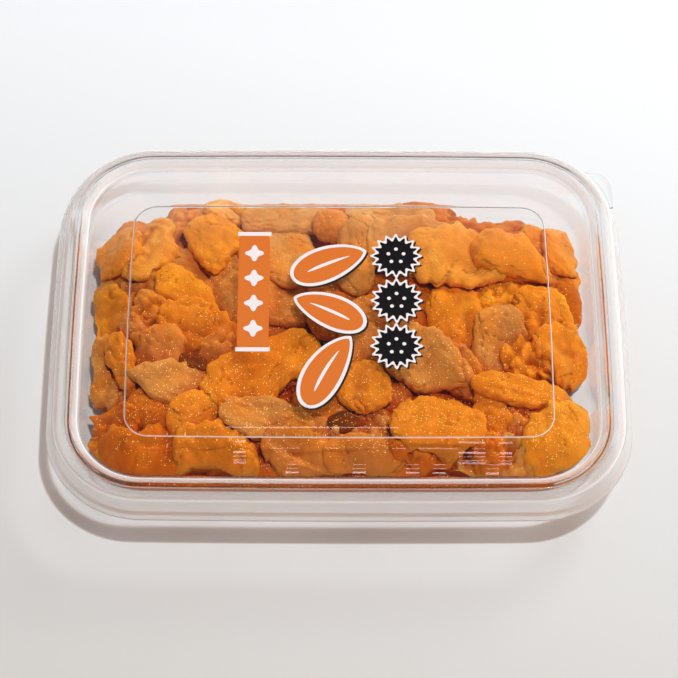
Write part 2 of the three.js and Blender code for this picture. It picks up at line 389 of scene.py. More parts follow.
def milky_share(add, place, normal, step):
    """Larger of two shares: one on the panel's step, one on every steep slope."""
    height = add("ShaderNodeSeparateXYZ", {0: place}).outputs["Z"]
    upright = add("ShaderNodeSeparateXYZ", {0: normal}).outputs["Z"]
    level = add("ShaderNodeMath", {0: upright}, operation="ABSOLUTE").outputs[0]
    on_step = add("ShaderNodeMath", {0: height, 1: step * MM, 2: step_reach * MM},
                  operation="COMPARE").outputs[0]
    bent = add("ShaderNodeMapRange", {0: level, 1: 0.97, 2: 0.75, 4: milky_on_step}).outputs[0]
    drawn = add("ShaderNodeMapRange", {0: level, 1: 0.9, 2: 0.6, 4: milky_on_slopes}).outputs[0]
    bent = add("ShaderNodeMath", {0: on_step, 1: bent}, operation="MULTIPLY").outputs[0]
    return add("ShaderNodeMath", {0: bent, 1: drawn}, operation="MAXIMUM").outputs[0]

def clear_plastic(name, tint, steep, soft_steep, step=None):
    """Glass to the eye, with a milky share if it has a step; to lamps and soft light a clear film."""
    material, add = new_material(name)
    normal = add("ShaderNodeNewGeometry").outputs["Normal"]
    place = add("ShaderNodeTexCoord").outputs["Object"]
    path = add("ShaderNodeLightPath").outputs
    seen = add("ShaderNodeBsdfPrincipled", {"Base Color": (*tint, 1), "Roughness": 0.0,
                                            "IOR": plastic_index, "Transmission Weight": 1.0}).outputs[0]
    if step:
        milky = add("ShaderNodeBsdfPrincipled", {"Base Color": milky_colour, "Roughness": 0.4}).outputs[0]
        share = milky_share(add, place, normal, step)
        seen = add("ShaderNodeMixShader", {0: share, 1: seen, 2: milky}).outputs[0]
    colour = film_colour(add, place, normal, path["Is Diffuse Ray"], steep, soft_steep)
    film = add("ShaderNodeBsdfTransparent", {"Color": colour}).outputs[0]
    soft_ray = add("ShaderNodeMath", {0: path["Is Shadow Ray"], 1: path["Is Diffuse Ray"]},
                   operation="ADD", use_clamp=True).outputs[0]
    mixed = add("ShaderNodeMixShader", {0: soft_ray, 1: seen, 2: film}).outputs[0]
    add("ShaderNodeOutputMaterial", {"Surface": mixed})
    return material

lid.data.materials.append(clear_plastic("clear_lid_plastic", (0.992, 0.992, 0.99), (0.40, 0.26, 0.18),
                                        (0.90, 0.77, 0.66), lid_flat + 0.15))
tray.data.materials.append(clear_plastic("clear_tray_plastic", (0.99, 0.99, 0.987), (0.97, 0.96, 0.95),
                                         (0.99, 0.98, 0.97)))
print("materials:", [m.name for m in bpy.data.materials])

# %% [markdown]
# Sea urchin roe comes as soft tongues, 20 to 30 mm long. They could be sculpted one by one,
# or be one blob repeated, but a heap of equal ones looks wrong at once. So a tongue is a
# closed grid: rows run from its blunt end to its tip and columns go round it. Smooth random
# waves make each one uneven, and round lumps stand for the clots of grains that a broken
# one shows. Every random number has a fixed seed.

# %% Random waves and lumps
def waves(points, rng, shortest, longest, count=14):
    """Sum of cosines with random directions, phases and wavelengths in mm; spread about 1."""
    towards = rng.normal(size=(count, 3))
    towards /= np.linalg.norm(towards, axis=1, keepdims=True)
    pulse = 2 * np.pi * towards / rng.uniform(shortest, longest, (count, 1))
    return np.cos(points @ pulse.T + rng.uniform(0, 2 * np.pi, count)).sum(-1) * np.sqrt(2 / count)

def lumps(points, rng, spacing, count=140):
    """Domes on random points of the surface: sqrt(1 - d^2), d the distance in spacings to the nearest."""
    centres = points[rng.integers(0, len(points), count)]
    nearest = np.full(len(points), 9.0)
    for block in np.array_split(centres, 4):
        apart = ((points[:, None] - block) ** 2).sum(-1) / spacing ** 2
        nearest = np.minimum(nearest, apart.min(1))
    return np.sqrt(np.clip(1 - nearest, 0, 1))

print("waves of 4-7 mm at three points:",
      np.round(waves(np.eye(3) * 9, np.random.default_rng(1), 4, 7), 2))

# %% [markdown]
# Roe is soft, so each tongue sags over what lies under it. A physics run could drop them
# in, but they would roll away from the places they are listed at. Instead a coarse grid
# keeps the height of the heap so far. A new tongue takes a smoothed copy of that height as
# its bed, and its own top then raises the grid for the next one. Points that would pass
# through the tray's wall or come too near the lid are pressed back.

# %% Bed of the heap
bed_x, bed_y = np.arange(-72, 72.5), np.arange(-52, 52.5)

def blur(count, spread):
    """Matrix that smooths a row of cells with a Gaussian of that spread."""
    apart = np.arange(count)[:, None] - np.arange(count)
    weights = np.exp(-apart ** 2 / (2 * spread ** 2))
    return weights / weights.sum(1, keepdims=True)

blur_x, blur_y = blur(len(bed_x), 2.6), blur(len(bed_y), 2.6)

def sampled(field, x, y):
    """Height between cells, in straight proportion to the distances."""
    u = np.clip(x - bed_x[0], 0, len(bed_x) - 1.001)
    v = np.clip(y - bed_y[0], 0, len(bed_y) - 1.001)
    i, j = u.astype(int), v.astype(int)
    u, v = u - i, v - j
    return ((1 - v) * ((1 - u) * field[j, i] + u * field[j, i + 1])
            + v * ((1 - u) * field[j + 1, i] + u * field[j + 1, i + 1]))

def depth_inside(x, y):
    """Distance in mm inside the skirt's foot, and the inward direction there.

    In a corner it is the radius less the distance to the corner's centre, and elsewhere the
    distance to the nearer side.
    """
    dx, dy = np.abs(x) - half_size[0] + corner_radius, np.abs(y) - half_size[1] + corner_radius
    corner = np.hypot(np.maximum(dx, 0), np.maximum(dy, 0))
    depth = corner_radius - corner - np.minimum(np.maximum(dx, dy), 0)
    in_corner = (dx > 0) & (dy > 0)
    inward_x = np.where(in_corner, dx / np.maximum(corner, 1e-6), (dx >= dy) * 1.0)
    inward_y = np.where(in_corner, dy / np.maximum(corner, 1e-6), (dx < dy) * 1.0)
    return depth, -np.sign(x) * inward_x, -np.sign(y) * inward_y

roe_ceiling = 16.4                  # mm, no tongue rises above this
front_gap = [6.4, 6.4, 6.6, 5.4]    # mm kept free in front, at heights 0, 4, 9 and 13

def pressed(points):
    """Points pushed in from the tray's leaning wall, and flattened under the lid and on the floor.

    The push is need - depth where that is above 0, rounded off as log(1 + e^u). Heights near
    the ceiling bend over as tanh, and those near the floor level out as an exponential.
    """
    x, y, z = points.T
    crown = roe_ceiling - 1.6
    z = np.where(z > crown, crown + 1.6 * np.tanh((z - crown) / 1.6), z)
    z = np.where(z < 1.2, 0.75 + 0.45 * np.exp((z - 1.2) / 0.45), z)
    depth, inward_x, inward_y = depth_inside(x, y)
    need = np.interp(z, [0.7, 1.8, 3.6, 9.0, 16.0], [12.6, 10.9, 10.1, 8.5, 7.6])
    need += np.maximum(inward_y, 0) * np.interp(z, [0, 4, 9, 13], front_gap)
    gaps = np.sin(0.42 * y + 0.2 * x) + 0.6 * np.sin(0.25 * y - 0.31 * x + 1)
    need += 1.5 * np.clip(gaps, 0, 1.2) * np.interp(z, [1, 4, 12], [0.3, 1, 1.3])
    push = np.logaddexp(0, (need - depth) / 0.25) * 0.25
    return np.stack([x + push * inward_x, y + push * inward_y, z], -1)

heap_bed = 0.6 + 3.6 * np.clip((depth_inside(*np.meshgrid(bed_x, bed_y))[0] - 13) / 12, 0, 1) ** 0.7
print("bed:", heap_bed.shape, "from", round(heap_bed.min(), 1), "to", round(heap_bed.max(), 1), "mm")

# %% [markdown]
# The tongues differ in kind. A whole tongue is smooth with a shallow furrow, a leaf ends in
# a point, a block is cut square, and a crumb has burst, so that lumps and pits show. The
# half width along a tongue is s^a (1-s)^b, scaled to 1 at its widest.

# %% Kinds of tongue
kinds = {
    "tongue": dict(ragged=0.05, ends=(0.42, 0.5), lump=0.07, clot=0.16, pit=0.0, furrow=0.4),
    "leaf": dict(ragged=0.08, ends=(0.45, 0.9), lump=0.07, clot=0.16, pit=0.0, furrow=0.2),
    "block": dict(ragged=0.06, ends=(0.25, 0.27), lump=0.09, clot=0.14, pit=0.0, furrow=0.0),
    "fold": dict(ragged=0.13, ends=(0.4, 0.5), lump=0.12, clot=0.35, pit=0.15, furrow=1.0),
    "crumb": dict(ragged=0.18, ends=(0.36, 0.4), lump=0.12, clot=1.0, pit=0.7, furrow=0.0),
}

def hump(s, a, b):
    """s^a (1-s)^b divided by its highest value."""
    top = a / (a + b)
    return (s / top) ** a * ((1 - s) / (1 - top)) ** b

print("kinds of tongue:", list(kinds))

# %% [markdown]
# One tongue is first made about its own middle. Its section is a flattened round, fuller
# above than below, with up to two shallow valleys along it. Then every point moves outwards
# or inwards by the sum of the waves, clots, creases and pits. The same sum gives each point
# a shade, which the colour uses later.

# %% Shape of a tongue
def tongue(rng, length, width, thick, kind, bend, rows, columns):
    """Rings of one tongue about its own middle, and a shade for each point: 0 in folds, 1 on crowns.

    At s along and t round, a point lies half(s) |cos t|^0.85 across and rise(s) |sin t|^0.85
    up, on a middle line that turns by bend, and then moves outwards by the sum of the waves.
    """
    form = kinds[kind]
    s = (1 - np.cos(np.pi * np.linspace(0.02, 0.98, rows)))[:, None] / 2
    t = -2 * np.pi * np.arange(columns)[None] / columns
    edge = np.stack(np.broadcast_arrays(s * length, 3 * np.sign(np.cos(t)), 0 * t), -1)
    ragged = waves(edge, rng, 4, 11) + 0.5 * waves(edge, rng, 1.8, 3.6)
    half = width / 2 * hump(s, *form["ends"]) * (1 + form["ragged"] * ragged * np.abs(np.cos(t)))
    rise = thick / 2 * hump(s, 0.42, 0.46 + (form["ends"][1] - 0.5) / 2)
    across = half * np.sign(np.cos(t)) * np.abs(np.cos(t)) ** 0.85
    up = rise * np.sign(np.sin(t)) * np.abs(np.sin(t)) ** 0.85
    up = np.where(up < 0, 0.55 * up, up)
    for place in rng.uniform(-0.3, 0.3, 2):
        valley = np.exp(-((across / width - place * (0.6 + s)) / 0.075) ** 2) * np.sin(np.pi * s)
        up = up - form["furrow"] * rng.uniform(0.3, 1) * valley * (up > 0)
    turn = bend * (s - 0.5) + 1e-6
    along = length * np.sin(turn) / (bend + 2e-6) * np.ones_like(t) - across * np.sin(turn)
    side = length * (1 - np.cos(turn)) / (bend + 2e-6) + across * np.cos(turn)
    points = np.stack([along, side, up], -1).reshape(-1, 3)
    core = points * [0, 1, 1]
    core[:, 0] = points[:, 0] - np.clip(points[:, 0], -0.34 * length, 0.34 * length)
    outward = core / np.maximum(np.linalg.norm(core, axis=1, keepdims=True), 0.3)
    big = waves(points, rng, 9, 17)
    middle = waves(points, rng, 5.0, 9.0)
    small = waves(points, rng, 1.3, 2.8)
    line = waves(points + 0.9 * middle[:, None], rng, 6, 11)
    crease = np.exp(-(line / 0.09) ** 2) * np.clip(0.5 + big, 0, 1)
    clots = lumps(points, rng, 1.25, 220)
    pits = lumps(points, rng, 1.9, 34) ** 2 * (waves(points, rng, 7, 12) > 0.1)
    shift = (form["lump"] * width / 4 * big + 0.12 * middle + 0.11 * small - 0.7 * crease
             + form["clot"] * clots - 2.2 * form["pit"] * pits)
    # the shade is painted shade: darker in creases and pits, lighter on the crowns of clots
    shade = np.clip(0.74 + 0.05 * middle - 0.6 * crease + 0.45 * form["clot"] * (clots - 0.6)
                    - 0.8 * form["pit"] * pits, 0, 1)
    return points + outward * shift[:, None], shade

sample, _ = tongue(np.random.default_rng(0), 24, 12, 7, "fold", 1e-4, 56, 80)
print("a folded tongue of 24 x 12 x 7 mm measures", np.round(np.ptp(sample, axis=0), 1))

# %% [markdown]
# Roe is not one orange: tongues run from yellow through tan to a deep red brown. A noise
# texture could mix these over the whole heap, but each real tongue has a colour of its own,
# so every point carries its tongue's tint. Colours are written as screen values and turned
# into light, because light is what adds up.

# %% Colours
palette = {name: np.array(colour) / 255 for name, colour in {
    "amber": (250, 160, 34), "orange": (244, 145, 30), "deep": (220, 106, 3), "tan": (219, 150, 72),
    "clay": (222, 137, 60), "brown": (200, 96, 14), "sand": (222, 152, 74),
    "blond": (226, 161, 86), "pale": (252, 178, 88), "peach": (252, 166, 60),
    # the last colour is painted shade, near-black, for the deepest gaps
    "hollow": (78, 22, 4)}.items()}

def linear(colour):
    """Light from a screen value c: ((c + 0.055) / 1.055)^2.4."""
    return ((np.asarray(colour) + 0.055) / 1.055) ** 2.4

print("colours:", list(palette))

# %% [markdown]
# A tongue's place is listed as it lies at one even height, seen from the camera. A tongue
# that ends up higher therefore moves towards the front by its extra height over the tangent
# of the camera's height. Its tint is its own colour, warmed in soft patches, then painted
# lighter on its crowns and darker and deeper in its folds, creases and pits as painted shade.

# %% Laying a tongue
listed_height = 11.0                # mm, height at which places are listed
sight_lean = 1 / np.tan(np.radians(view_height))

def lay(seed, x, y, length, width, heading, colour, kind="tongue", thick=0.0, bend=0.0, lift=0.0,
        rows=56, columns=80):
    """One tongue in place: turned to its heading, sagged over the bed, pressed in, and the bed raised.

    Base = 0.8 x the bed below a point + 0.2 x the mean bed + 0.16 x thickness + lift + tilt.
    Tint = its own colour, mixed with orange in warm patches, then painted lighter by the
    shade on crowns and mixed with deep in its folds, as painted shade.
    """
    global heap_bed
    rng = np.random.default_rng(seed)
    thick = thick or 0.42 * width + 2.8
    length, width = 1.15 * length, 1.32 * width
    points, shade = tongue(rng, length, width, thick, kind, np.radians(bend) + 1e-4, rows, columns)
    c, s = np.cos(np.radians(heading)), np.sin(np.radians(heading))
    tilt = rng.uniform(-0.06, 0.06, 2)
    soft = blur_y @ heap_bed @ blur_x.T
    height = sampled(soft, np.array([x]), np.array([y]))[0] + 0.45 * thick
    y = y - sight_lean * (height - listed_height)
    placed = np.array([x, y]) + points[:, :2] @ np.array([[c, s], [-s, c]])
    under = sampled(soft, *placed.T)
    level = under.mean()
    base = 0.8 * under + 0.2 * level + 0.16 * thick + lift + points[:, :2] @ tilt
    placed = pressed(np.c_[placed, points[:, 2] + base])
    i = np.clip(np.rint(placed[:, 0] - bed_x[0]).astype(int), 0, len(bed_x) - 1)
    j = np.clip(np.rint(placed[:, 1] - bed_y[0]).astype(int), 0, len(bed_y) - 1)
    np.maximum.at(heap_bed, (j, i), placed[:, 2])
    # the dark bodies of painted shade in the gaps are not warmed
    warm = np.clip(0.12 + 0.25 * waves(placed, rng, 8, 18), 0, 0.7)[:, None] * (colour != "hollow")
    # painted light and shade: lighter on crowns, darker and mixed with deep in folds
    light = (0.70 + 0.36 * shade[:, None]) * (1 + 0.04 * waves(placed, rng, 3, 6)[:, None])
    own = linear(palette[colour])
    tint = (own + (linear(palette["orange"]) - own) * warm) * light
    tint = tint + (linear(palette["deep"]) * light - tint) * (0.8 * (1 - shade[:, None]))
    poles = [tint[:columns].mean(0), tint[-columns:].mean(0)]
    tint = np.concatenate([tint, poles])
    return closed_tube(placed.reshape(rows, columns, 3)), tint

heap = {}

def lay_all(name, rows_of_tongues, seed, **grid):
    """Lay the tongues of one piece in the order given, so that later ones lie on top."""
    heap[name] = [lay(seed + n, *row, **grid) for n, row in enumerate(rows_of_tongues)]
    print(f"{name}: {len(heap[name])} tongues laid, bed up to {heap_bed.max():.1f} mm")

print("bed of", heap_bed.size, "cells ready, places listed at", listed_height, "mm")

# %% [markdown]
# Most of the heap is hidden, and tongues that nobody sees would only cost time. A low mound
# fills its middle, a bottom layer of plainer tongues is scattered over it, and only the top
# layer is listed one by one.

# %% Core and bottom layer
def core_mound():
    """Low mound: rings of the outline from inset 44 out to 14.6 and back below, lower at the edge."""
    inset = np.array([44, 36, 28, 22, 18, 15.5, 14.6, 15.0, 18, 30, 44.0])
    height = np.array([4.6, 4.6, 4.4, 3.9, 3.0, 1.9, 1.2, 0.78, 0.75, 0.75, 0.75])
    places, _ = outline(inset, np.maximum(corner_radius - inset, 3.0))
    rings = np.concatenate([places, np.broadcast_to(height[:, None, None], places.shape[:2] + (1,))], -1)
    return closed_tube(rings[:, ::2])

core_points, core_quads, core_fans = core_mound()
core = make_piece("roe_core", core_points, core_quads, core_fans,
                  colours={"tint": np.tile(linear(palette["brown"]), (len(core_points), 1))})
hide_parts("roe_heap")

def scattered(seed):
    """Places on a loose 9 x 6 grid, each moved by up to a third of a step and turned at random."""
    rng = np.random.default_rng(seed)
    spread = np.stack(np.meshgrid(np.arange(9) - 4, np.arange(6) - 2.5), -1).reshape(-1, 2)
    places = (spread + rng.uniform(-0.33, 0.33, spread.shape)) * [13.6, 14.6]
    names = ["deep", "brown", "orange", "clay"]
    return [(x, y + 4.0, rng.uniform(15, 22), rng.uniform(10, 13), rng.uniform(0, 180),
             names[rng.integers(4)], "fold", 5.0) for x, y in places
            if not (y > 24 and (x > 34 or x < -50))]

lay_all("roe_bottom", scattered(5), 500, rows=30, columns=44)

# %% [markdown]
# The top layer, by quarters. Each line gives a tongue's place in mm, its length, width and
# heading in degrees from +X, its colour, its kind, and where needed its thickness, bend
# and lift. The tip is at the heading's end.

# %% Back left quarter
lay_all("roe_back_left", [
    (-64.0, 26.5, 8, 4, 115, "amber", "leaf", 3.0),
    (-50.0, 18.0, 14, 9, 20, "deep", "crumb"),
    (-43.0, 28.0, 10, 8, 0, "brown", "crumb", 4.0),
    (-61.0, 13.0, 13, 11, 80, "tan", "fold"),
    (-51.0, 12.5, 13, 10, 20, "tan", "crumb"),
    (-60.8, 3.5, 17, 9, 95, "amber", "fold"),
    (-50.5, 3.5, 12, 10, 60, "clay", "crumb"),
    (-41.5, 35.0, 15, 10, 5, "clay", "crumb"),
    (-42.5, 21.8, 14, 8, -12, "tan", "tongue"),
    (-13.0, 1.5, 14, 7, 0, "clay", "tongue"),
    (-22.5, 14.0, 25, 9, 88, "tan", "tongue"),
    (-14.0, 10.0, 14, 12, 70, "clay", "fold"),
    (-30.5, 14.0, 22, 9, 92, "tan", "fold", 5.0, -15),
    (-51.2, 26.0, 19, 11, 75, "peach", "fold"),
    (-58.8, 27.3, 17, 11, 72, "orange", "leaf", 7.0, -20),
    (-39.5, 11.5, 18, 9, -40, "amber", "leaf", 6.0, 25),
    (-30.5, 39.5, 11, 9, 0, "pale", "tongue", 7.5),
    (-24.5, 39.0, 9, 4, -5, "amber", "leaf", 4.0),
    (-33.5, 27.5, 15, 11, -88, "amber", "leaf", 6.5),
    (-14.5, 24.0, 18, 14, 80, "blond", "tongue"),
    (-14.5, 36.2, 22, 9, 2, "blond", "block"),
    (-36.5, 1.0, 21, 10, -18, "orange", "fold"),
], 1000)

# %% Front left quarter
lay_all("roe_front_left", [
    (-47.5, -6.0, 15, 12, 65, "clay", "fold"),
    (-31.5, -7.0, 10, 8, -20, "clay", "fold", 5.0),
    (-20.5, -39.5, 14, 7, 0, "deep", "tongue", 5.0),
    (-24.5, -31.0, 12, 8, -10, "brown", "tongue", 4.5),
    (-5.0, -19.0, 15, 12, 60, "orange", "tongue"),
    (-6.0, -28.5, 10, 7, 0, "clay", "tongue"),
    (-60.8, -13.5, 19, 10, -75, "tan", "fold", 7.0, 15),
    (-56.0, -9.0, 18, 5, -72, "orange", "leaf", 5.0),
    (-51.0, -26.5, 13, 8, -20, "orange", "crumb"),
    (-46.5, -22.0, 16, 9, -12, "brown", "leaf", 6.5),
    (-42.0, -14.8, 24, 11, 168, "sand", "leaf", 7.5, -15),
    (-23.5, -7.5, 8, 5, 10, "clay", "tongue", 4.0),
    (-62.0, -33.5, 9, 6, 100, "amber", "fold"),
    (-58.8, -29.0, 12, 11, 60, "deep", "crumb", 7.0),
    (-50.0, -36.5, 23, 11, -4, "deep", "fold"),
    (-35.5, -25.5, 16, 10, -38, "orange", "leaf", 6.5),
    (-20.0, -10.0, 30, 14, 28, "orange", "tongue", 8.0, -8),
    (-31.0, -36.5, 20, 11, -22, "orange", "fold"),
    (-18.5, -25.5, 22, 9, -8, "tan", "tongue", 6.5),
    (-10.5, -35.5, 17, 10, -22, "clay", "fold"),
], 2000)

# %% Back right quarter
lay_all("roe_back_right", [
    (3.0, 33.0, 11, 9, 30, "clay", "tongue"),
    (-2.0, 35.0, 9, 8, 0, "clay", "tongue"),
    (37.5, 33.5, 27, 7, -8, "brown", "crumb", 6.0),
    (21.5, 11.0, 19, 6, 85, "brown", "tongue", 4.0),
    (12.0, 15.0, 20, 7, 0, "deep", "tongue", 4.5),
    (-1.0, 17.0, 14, 12, 70, "clay", "tongue"),
    (-2.0, 6.0, 12, 11, 0, "brown", "tongue"),
    (4.5, 24.5, 21, 9, 86, "tan", "tongue", 6.0, 10),
    (60.0, 16.5, 11, 9, 80, "clay", "crumb"),
    (60.8, 8.0, 14, 7, 92, "brown", "tongue"),
    (43.5, 11.5, 14, 10, 0, "amber", "crumb", 7.0),
    (37.2, 8.5, 7, 4, 65, "orange", "tongue", 4.0),
    (13.5, 36.3, 22, 9, -4, "blond", "block"),
    (53.5, 29.5, 9, 9, 80, "orange", "block"),
    (59.3, 27.0, 15, 8, 92, "orange", "block", 7.0),
    (19.5, 27.0, 22, 15, -10, "blond", "tongue", 7.0),
    (30.5, 6.0, 23, 11, 93, "orange", "tongue", 7.5),
    (47.0, 20.0, 15, 7, 0, "deep", "tongue", 6.0),
    (32.0, 23.5, 25, 14, -6, "peach", "block", 7.0),
    (46.5, 24.8, 21, 11, -30, "orange", "leaf", 7.0, -12),
    (58.5, 6.0, 14, 5, -66, "amber", "leaf", 5.0),
    (52.3, 5.0, 16, 9, -88, "orange", "fold", 7.5),
], 3000)

# %% Front right quarter
lay_all("roe_front_right", [
    (12.5, -18.0, 12, 9, 20, "clay", "tongue", 5.0),
    (48.0, -25.0, 12, 9, 0, "clay", "crumb", 4.5),
    (8.5, 3.5, 15, 13, 60, "clay", "tongue"),
    (5.5, -5.0, 15, 12, 80, "clay", "tongue"),
    (41.8, -4.0, 20, 12, 84, "sand", "tongue", 7.5),
    (49.5, -8.5, 13, 8, 12, "orange", "crumb"),
    (59.0, -5.5, 15, 12, -14, "orange", "fold", 7.5),
    (60.5, -37.0, 9, 7, 30, "deep", "tongue"),
    (18.0, -39.0, 27, 8, 0, "deep", "tongue", 6.5),
    (7.0, -27.5, 15, 9, 5, "tan", "crumb"),
    (6.5, -34.5, 20, 8, 0, "clay", "tongue", 6.5),
    (6.5, -15.0, 12, 11, 70, "orange", "tongue", 6.5),
    (31.5, -11.5, 17, 8, -50, "clay", "tongue"),
    (23.5, -8.5, 23, 13, -30, "tan", "leaf", 7.5),
    (38.8, -23.5, 16, 8, 88, "orange", "fold", 7.0),
    (48.0, -16.2, 24, 7, -3, "orange", "tongue", 6.5, 20),
    (34.5, -39.5, 11, 6, 10, "sand", "crumb", 5.5),
    (44.0, -38.0, 11, 9, 0, "sand", "crumb", 7.0),
    (37.8, -34.0, 8, 7, 20, "deep", "crumb", 6.0),
    (22.5, -33.5, 15, 7, -3, "deep", "crumb", 5.5),
    (25.0, -26.0, 22, 13, -4, "orange", "tongue", 8.0),
    (57.0, -29.5, 22, 13, 50, "amber", "tongue", 8.0, 10),
], 4000)

# %% [markdown]
# Two small dark bodies, sunk between the tongues, are painted shade: their near-black colour
# stands for the shade in the deepest gaps, which hardly any light comes out of. They are
# nearly hidden, so a coarser grid is enough.

# %% Painted shade in the deepest gaps
lay_all("roe_gap_shade", [
    (-37.8, -7.5, 7, 4, -25, "hollow", "tongue", 3.0, 0, -1.4),
    (1.2, -24.6, 7, 4, 0, "hollow", "tongue", 3.0, 0, -1.4),
], 5000, rows=30, columns=44)

# %% [markdown]
# Now that the heap is whole, the crevices can be told from the crowns: a point lies in
# the crevices as far as it lies below the smoothed top of the heap. Little light reaches
# down there, and what comes out has gone through more flesh, so the tint there is painted
# darker and redder as painted shade, and less so towards the back.

# %% Painted shade in crevices, and pieces
smooth_top = blur_y @ heap_bed @ blur_x.T

# colour of the painted shade deep in the crevices
crevice_shade_colour = linear(np.array([174, 56, 4]) / 255)

def paint_crevice_shade(points, tint):
    """Painted shade: tint x (1 - share) + shade colour x share; share grows over 3.4 mm of depth, less
    towards the back.
    """
    sunk = sampled(smooth_top, points[:, 0], points[:, 1]) - points[:, 2]
    share = np.clip((sunk - 0.2) / 3.4, 0, 1) ** 0.8 * np.clip(0.8 - points[:, 1] / 50, 0.25, 1)
    share = share[:, None]
    return np.clip(tint * (1 - share) + crevice_shade_colour * share, 0.0006, 1)

roe_pieces = [core]
for name, tongues in heap.items():
    points, quads, fans = joined([body for body, _ in tongues])
    colours = paint_crevice_shade(points, np.concatenate([tint for _, tint in tongues]))
    roe_pieces.append(make_piece(name, points, quads, fans, colours={"tint": colours}))
print("roe pieces:", {piece.name: len(piece.data.vertices) for piece in roe_pieces})

# %% [markdown]
# Roe is made of fine wet grains, and light sinks a few millimetres into it before it comes
# out again. The material scatters light below its surface, lays a thin clear coat of
# juice over it, and bumps both with cells the size of the grains. Here and there a grain
# that faces up, more often towards the front, carries a painted sparkle: a pale gold colour
# that also glows a little, as a painted highlight.

# %% Grain group
def grain_group():
    """Grain cells and noise: a height for the bump, a mottle for the colour and a mask of painted
    sparkles.
    """
    group = bpy.data.node_groups.new("roe_grain", "ShaderNodeTree")
    for label, kind in (("Vector", "NodeSocketVector"), ("Grain", "NodeSocketFloat")):
        group.interface.new_socket(label, in_out="INPUT", socket_type=kind)
    for label in ("Height", "Mottle", "Painted sparkle"):
        group.interface.new_socket(label, in_out="OUTPUT", socket_type="NodeSocketFloat")
    add, link, maths = group.nodes.new, group.links.new, maths_in(group)
    start, end = add("NodeGroupInput"), add("NodeGroupOutput")

    def texture(kind, **values):
        """Texture on the group's own vector, with its inputs given by name."""
        node = add(kind)
        link(start.outputs["Vector"], node.inputs["Vector"])
        for key, value in values.items():
            node.inputs[key].default_value = value
        return node

    cells = texture("ShaderNodeTexVoronoi")
    cells.feature = "SMOOTH_F1"
    cells.inputs["Smoothness"].default_value = 0.35
    link(start.outputs["Grain"], cells.inputs["Scale"])
    fine = texture("ShaderNodeTexNoise", Scale=2600, Detail=2)
    patches = texture("ShaderNodeTexNoise", Scale=240, Detail=4, Distortion=2.0)
    crowns = maths("SUBTRACT", 1.0, cells.outputs["Distance"])
    link(maths("MULTIPLY_ADD", fine.outputs["Fac"], 0.35, crowns), end.inputs["Height"])
    link(patches.outputs["Fac"], end.inputs["Mottle"])

    # painted highlights: rare small dots on grains that face up, more of them towards the front
    dots = texture("ShaderNodeTexVoronoi", Scale=2100)
    place, facing, draw = map(add, ("ShaderNodeSeparateXYZ", "ShaderNodeSeparateXYZ",
                                    "ShaderNodeSeparateColor"))
    link(start.outputs["Vector"], place.inputs[0])
    link(dots.outputs["Color"], draw.inputs[0])
    link(add("ShaderNodeNewGeometry").outputs["Normal"], facing.inputs[0])
    limit = maths("MULTIPLY_ADD", place.outputs["Y"], 11.0, 1.17)
    rare = maths("GREATER_THAN", draw.outputs[0], maths("SUBTRACT", limit, patches.outputs["Fac"]))
    reach = maths("MULTIPLY_ADD", draw.outputs[1], 0.22, 0.07)
    small = maths("LESS_THAN", dots.outputs["Distance"], reach)
    upward = maths("GREATER_THAN", facing.outputs["Z"], 0.78)
    link(maths("MULTIPLY", maths("MULTIPLY", rare, small), upward), end.inputs["Painted sparkle"])
    return group

grain = grain_group()
print("group:", grain.name, [s.name for s in grain.interface.items_tree])

# %% [markdown]
# One Principled BSDF holds both the flesh and its juice. Plain paint would look dry and
# hard, while scattering lets red light wander further than the rest, which warms the folds.
# The tint comes from the piece's own attribute, and the grains from the group.

# %% Roe material
grain_scale = 1900        # grain cells in a metre
# colour and glow of the painted sparkles
painted_sparkle_colour, painted_glow_colour = (1.0, 0.66, 0.20, 1), (1.0, 0.62, 0.17, 1)

def roe_material(name):
    """Scattering flesh under a wet coat: the piece's tint with its painted shade, mottled, bumped by the
    grains, with painted sparkles that glow.
    """
    material, add = new_material(name)
    place = add("ShaderNodeTexCoord").outputs["Object"]
    grains = add("ShaderNodeGroup", {}, node_tree=grain)
    material.node_tree.links.new(place, grains.inputs["Vector"])
    grains.inputs["Grain"].default_value = grain_scale
    own = add("ShaderNodeVertexColor", layer_name="tint").outputs["Color"]
    spread = add("ShaderNodeMapRange", {0: grains.outputs["Mottle"], 1: 0.3, 2: 0.7,
                                        3: 0.95, 4: 1.05}).outputs[0]
    mottled = add("ShaderNodeVectorMath", {0: own, "Scale": spread}, operation="SCALE").outputs[0]
    with_painted_sparkles = add("ShaderNodeMix", {0: grains.outputs["Painted sparkle"], 6: mottled, 7: painted_sparkle_colour},
                  data_type="RGBA").outputs[2]
    painted_glow = add("ShaderNodeMix", {0: grains.outputs["Painted sparkle"], 6: (0, 0, 0, 1), 7: painted_glow_colour},
                data_type="RGBA").outputs[2]
    relief = add("ShaderNodeBump", {"Height": grains.outputs["Height"],
                                    "Strength": 1.0, "Distance": 0.00011})
    flesh = add("ShaderNodeBsdfPrincipled", {
        "Base Color": with_painted_sparkles, "Normal": relief.outputs[0],
        # the painted sparkles also glow a little
        "Emission Color": painted_glow, "Emission Strength": 0.5,
        "Roughness": 0.5, "IOR": 1.4, "Specular IOR Level": 0.0,
        "Subsurface Weight": 0.8, "Subsurface Radius": (1.0, 0.55, 0.25), "Subsurface Scale": 0.0009,
        "Coat Weight": 0.4, "Coat Roughness": 0.05, "Coat IOR": 1.36, "Coat Normal": relief.outputs[0]})
    add("ShaderNodeOutputMaterial", {"Surface": flesh.outputs[0]})
    return material

wet_roe = roe_material("wet_roe")
for piece in roe_pieces:
    piece.data.materials.append(wet_roe)
print("wet roe on:", len(roe_pieces), "pieces")

# %% [markdown]
# The lid is printed with plain shapes in orange and black, each with a white outline and a
# thin dark shadow towards the front right. A picture on the panel could carry them, but its
# edges would blur close up. So they lie on the raised panel as very thin plates, one over
# another: shadow, white, ink. Lamps shine partly through the ink.

